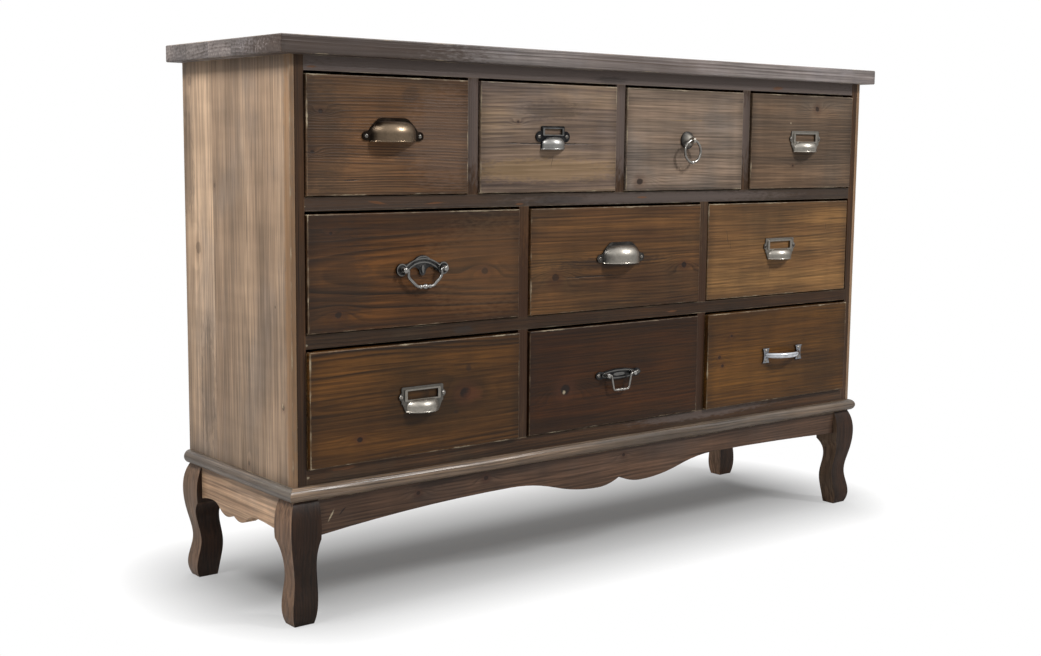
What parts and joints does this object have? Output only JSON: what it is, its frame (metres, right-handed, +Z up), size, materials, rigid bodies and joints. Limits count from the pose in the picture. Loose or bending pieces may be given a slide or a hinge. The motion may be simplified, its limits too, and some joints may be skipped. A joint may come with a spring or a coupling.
{
  "type": "seed storage cabinet",
  "caption": "Low wooden chest of drawers in three rows with mixed metal pulls, a bullnose frame, scalloped aprons and cabriole legs.",
  "frame": {"origin": "on the floor under the middle of the whole chest, pulls included", "axes": "+X to the right across the front, +Y to the back, +Z up; the drawers open towards -Y"},
  "size_m": [1.2, 0.35, 0.786],
  "materials": {
    "back_panel": "bare pine",
    "bottom_board": "bare pine",
    "bottom_rail": "stained and waxed pine",
    "corner_braces": "bare pine",
    "drawer_01_box": "bare pine",
    "drawer_01_front": "stained and waxed pine",
    "drawer_01_pull": "dark bronze patina",
    "drawer_02_box": "bare pine",
    "drawer_02_front": "stained and waxed pine",
    "drawer_02_pull": "aged pewter",
    "drawer_03_box": "bare pine",
    "drawer_03_front": "stained and waxed pine",
    "drawer_03_pull": "dark polished steel",
    "drawer_03_ring": "worn steel",
    "drawer_04_box": "bare pine",
    "drawer_04_front": "stained and waxed pine",
    "drawer_04_pull": "aged pewter",
    "drawer_05_bail": "dark pewter",
    "drawer_05_box": "bare pine",
    "drawer_05_front": "stained and waxed pine",
    "drawer_05_pull": "dark pewter",
    "drawer_06_box": "bare pine",
    "drawer_06_front": "stained and waxed pine",
    "drawer_06_pull": "aged pewter",
    "drawer_07_box": "bare pine",
    "drawer_07_front": "stained and waxed pine",
    "drawer_07_pull": "aged pewter",
    "drawer_08_box": "bare pine",
    "drawer_08_front": "stained and waxed pine",
    "drawer_08_pull": "aged pewter",
    "drawer_09_bail": "worn steel",
    "drawer_09_box": "bare pine",
    "drawer_09_front": "stained and waxed pine",
    "drawer_09_pull": "dark pewter",
    "drawer_10_box": "bare pine",
    "drawer_10_front": "stained and waxed pine",
    "drawer_10_pull": "polished",
    "drawer_guides": "bare pine",
    "front_apron": "stained and waxed pine",
    "front_left_leg": "stained and waxed pine",
    "front_moulding": "stained and waxed pine",
    "front_right_leg": "stained and waxed pine",
    "kickers": "bare pine",
    "left_apron": "stained and waxed pine",
    "left_moulding": "stained and waxed pine",
    "left_side_panel": "stained and waxed pine",
    "lower_rail": "stained and waxed pine",
    "muntins": "stained and waxed pine",
    "rear_apron": "stained and waxed pine",
    "rear_base_rail": "bare pine",
    "rear_left_leg": "stained and waxed pine",
    "rear_right_leg": "stained and waxed pine",
    "right_apron": "stained and waxed pine",
    "right_moulding": "stained and waxed pine",
    "right_side_panel": "stained and waxed pine",
    "shelves": "bare pine",
    "stiles": "stained and waxed pine",
    "top_board": "stained and waxed pine",
    "top_rail": "stained and waxed pine",
    "upper_rail": "stained and waxed pine"
  },
  "bodies": {
    "case": {"back_panel": "back_panel", "bottom_board": "bottom_board", "bottom_rail": "bottom_rail", "corner_braces": "corner_braces", "drawer_guides": "drawer_guides", "front_apron": "front_apron", "front_left_leg": "front_left_leg", "front_moulding": "front_moulding", "front_right_leg": "front_right_leg", "kickers": "kickers", "left_apron": "left_apron", "left_moulding": "left_moulding", "left_side_panel": "left_side_panel", "lower_rail": "lower_rail", "muntins": "muntins", "rear_apron": "rear_apron", "rear_base_rail": "rear_base_rail", "rear_left_leg": "rear_left_leg", "rear_right_leg": "rear_right_leg", "right_apron": "right_apron", "right_moulding": "right_moulding", "right_side_panel": "right_side_panel", "shelves": "shelves", "stiles": "stiles", "top_board": "top_board", "top_rail": "top_rail", "upper_rail": "upper_rail"},
    "drawer_01": {"drawer_01_front": "drawer_01_front", "drawer_01_box": "drawer_01_box", "drawer_01_pull": "drawer_01_pull"},
    "drawer_02": {"drawer_02_front": "drawer_02_front", "drawer_02_box": "drawer_02_box", "drawer_02_pull": "drawer_02_pull"},
    "drawer_03": {"drawer_03_front": "drawer_03_front", "drawer_03_box": "drawer_03_box", "drawer_03_pull": "drawer_03_pull"},
    "drawer_03_ring": {"drawer_03_ring": "drawer_03_ring"},
    "drawer_04": {"drawer_04_front": "drawer_04_front", "drawer_04_box": "drawer_04_box", "drawer_04_pull": "drawer_04_pull"},
    "drawer_05": {"drawer_05_front": "drawer_05_front", "drawer_05_box": "drawer_05_box", "drawer_05_pull": "drawer_05_pull"},
    "drawer_05_bail": {"drawer_05_bail": "drawer_05_bail"},
    "drawer_06": {"drawer_06_front": "drawer_06_front", "drawer_06_box": "drawer_06_box", "drawer_06_pull": "drawer_06_pull"},
    "drawer_07": {"drawer_07_front": "drawer_07_front", "drawer_07_box": "drawer_07_box", "drawer_07_pull": "drawer_07_pull"},
    "drawer_08": {"drawer_08_front": "drawer_08_front", "drawer_08_box": "drawer_08_box", "drawer_08_pull": "drawer_08_pull"},
    "drawer_09": {"drawer_09_front": "drawer_09_front", "drawer_09_box": "drawer_09_box", "drawer_09_pull": "drawer_09_pull"},
    "drawer_09_bail": {"drawer_09_bail": "drawer_09_bail"},
    "drawer_10": {"drawer_10_front": "drawer_10_front", "drawer_10_box": "drawer_10_box", "drawer_10_pull": "drawer_10_pull"}
  },
  "joints": [
    {"name": "drawer_01_slide", "type": "slide", "parent": "case", "child": "drawer_01", "axis": [0, -1, 0], "range_m": [0, 0.22]},
    {"name": "drawer_02_slide", "type": "slide", "parent": "case", "child": "drawer_02", "axis": [0, -1, 0], "range_m": [0, 0.22]},
    {"name": "drawer_03_slide", "type": "slide", "parent": "case", "child": "drawer_03", "axis": [0, -1, 0], "range_m": [0, 0.22]},
    {"name": "drawer_03_ring_swing", "type": "hinge", "parent": "drawer_03", "child": "drawer_03_ring", "pos_m": [0.14175, -0.161, 0.65875], "axis": [-1, 0, 0], "range_deg": [0, 110]},
    {"name": "drawer_04_slide", "type": "slide", "parent": "case", "child": "drawer_04", "axis": [0, -1, 0], "range_m": [0, 0.22]},
    {"name": "drawer_05_slide", "type": "slide", "parent": "case", "child": "drawer_05", "axis": [0, -1, 0], "range_m": [0, 0.22]},
    {"name": "drawer_05_bail_swing", "type": "hinge", "parent": "drawer_05", "child": "drawer_05_bail", "pos_m": [-0.3745, -0.156, 0.47625], "axis": [-1, 0, 0], "range_deg": [0, 95]},
    {"name": "drawer_06_slide", "type": "slide", "parent": "case", "child": "drawer_06", "axis": [0, -1, 0], "range_m": [0, 0.22]},
    {"name": "drawer_07_slide", "type": "slide", "parent": "case", "child": "drawer_07", "axis": [0, -1, 0], "range_m": [0, 0.22]},
    {"name": "drawer_08_slide", "type": "slide", "parent": "case", "child": "drawer_08", "axis": [0, -1, 0], "range_m": [0, 0.22]},
    {"name": "drawer_09_slide", "type": "slide", "parent": "case", "child": "drawer_09", "axis": [0, -1, 0], "range_m": [0, 0.22]},
    {"name": "drawer_09_bail_swing", "type": "hinge", "parent": "drawer_09", "child": "drawer_09_bail", "pos_m": [0.0005, -0.156, 0.29375], "axis": [-1, 0, 0], "range_deg": [0, 95]},
    {"name": "drawer_10_slide", "type": "slide", "parent": "case", "child": "drawer_10", "axis": [0, -1, 0], "range_m": [0, 0.22]}
  ]
}
